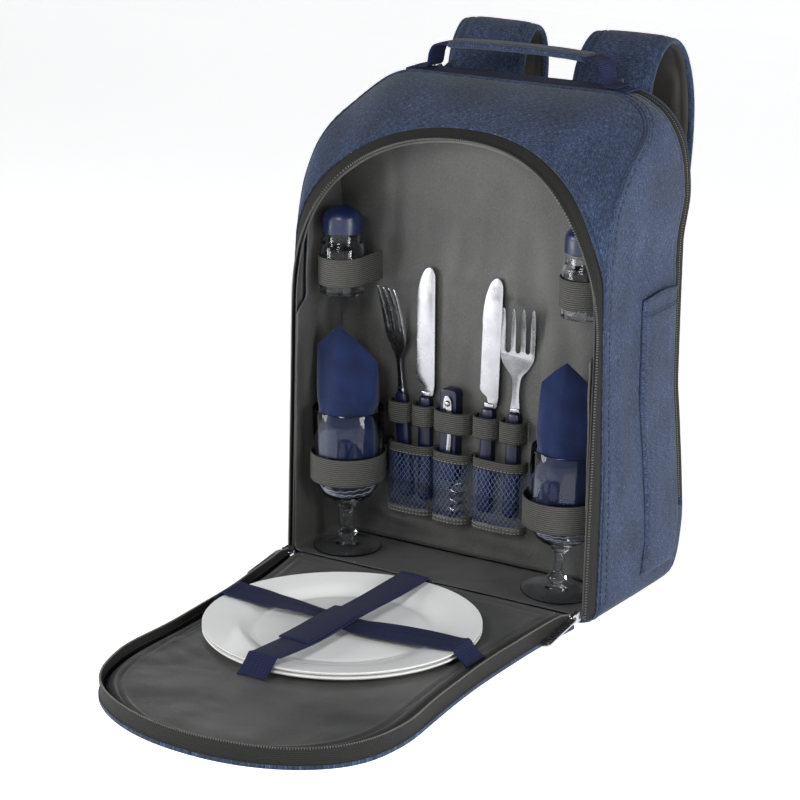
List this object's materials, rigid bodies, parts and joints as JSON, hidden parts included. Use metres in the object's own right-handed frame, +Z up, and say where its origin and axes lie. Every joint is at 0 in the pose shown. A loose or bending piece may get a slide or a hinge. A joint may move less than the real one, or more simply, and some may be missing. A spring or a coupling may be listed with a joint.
{
  "type": "cooler backpack with fitted picnic service",
  "caption": "Soft insulated backpack with its arched front door open on the floor, plates strapped to it, and glasses, napkins, cutlery, a corkscrew and shakers fitted inside.",
  "frame": {"origin": "middle of the pack's flat base, on the floor it stands on", "axes": "+Z up; -Y out through the open front door, +Y towards the wearer's back; +X to the right of someone who looks into the open door"},
  "size_m": [0.3164, 0.6377, 0.4653],
  "materials": {
    "canvas": "heathered canvas, woven",
    "lining": "satin lining over foam",
    "zip_tape": "knitted zip tape",
    "elastic": "ribbed elastic",
    "net": "knitted net",
    "webbing": "woven webbing",
    "napkin": "plain cotton",
    "plate": "glossy moulded melamine",
    "clear_acrylic": "clear, polished",
    "steel": "polished",
    "zip_metal": "plated die casting",
    "handle_plastic": "moulded, satin",
    "buckle": "moulded acetal"
  },
  "bodies": {
    "root": {"side_gusset": "canvas", "front_panel": "canvas", "seam_piping": "canvas", "back_panel": "canvas", "side_pocket_left": "canvas", "side_pocket_right": "canvas", "door_panel": "canvas", "handle_grip": "canvas", "shoulder_strap_left": "canvas", "shoulder_strap_right": "canvas", "compartment_divider": "lining", "compartment_lining": "lining", "door_lining": "lining", "door_hinge": "lining", "opening_zip_tape": "zip_tape", "rear_zip_tape": "zip_tape", "door_zip_tape": "zip_tape", "glass_band_left": "elastic", "glass_band_right": "elastic", "shaker_band_left": "elastic", "shaker_band_right": "elastic", "cutlery_loops": "elastic", "pocket_binding": "elastic", "net_pocket": "net", "handle_base": "webbing", "handle_end_left": "webbing", "handle_end_right": "webbing", "strap_webbing_left": "webbing", "strap_webbing_right": "webbing", "plate_strap_cross": "webbing", "plate_strap_long": "webbing", "napkin_left": "napkin", "napkin_right": "napkin", "plate_lower": "plate", "plate_upper": "plate", "wine_glass_left": "clear_acrylic", "wine_glass_right": "clear_acrylic", "shaker_jar_left": "clear_acrylic", "shaker_jar_right": "clear_acrylic", "fork_left": "steel", "fork_right": "steel", "knife_blade_left": "steel", "knife_blade_right": "steel", "corkscrew_lever": "steel", "corkscrew_worm": "steel", "zip_slider_left": "zip_metal", "zip_slider_right": "zip_metal", "zip_pull_left": "zip_metal", "zip_pull_right": "zip_metal", "shaker_cap_left": "handle_plastic", "shaker_cap_right": "handle_plastic", "fork_handle_left": "handle_plastic", "fork_handle_right": "handle_plastic", "knife_handle_left": "handle_plastic", "knife_handle_right": "handle_plastic", "corkscrew_body": "handle_plastic", "strap_buckle_left": "buckle", "strap_buckle_right": "buckle"}
  },
  "joints": []
}
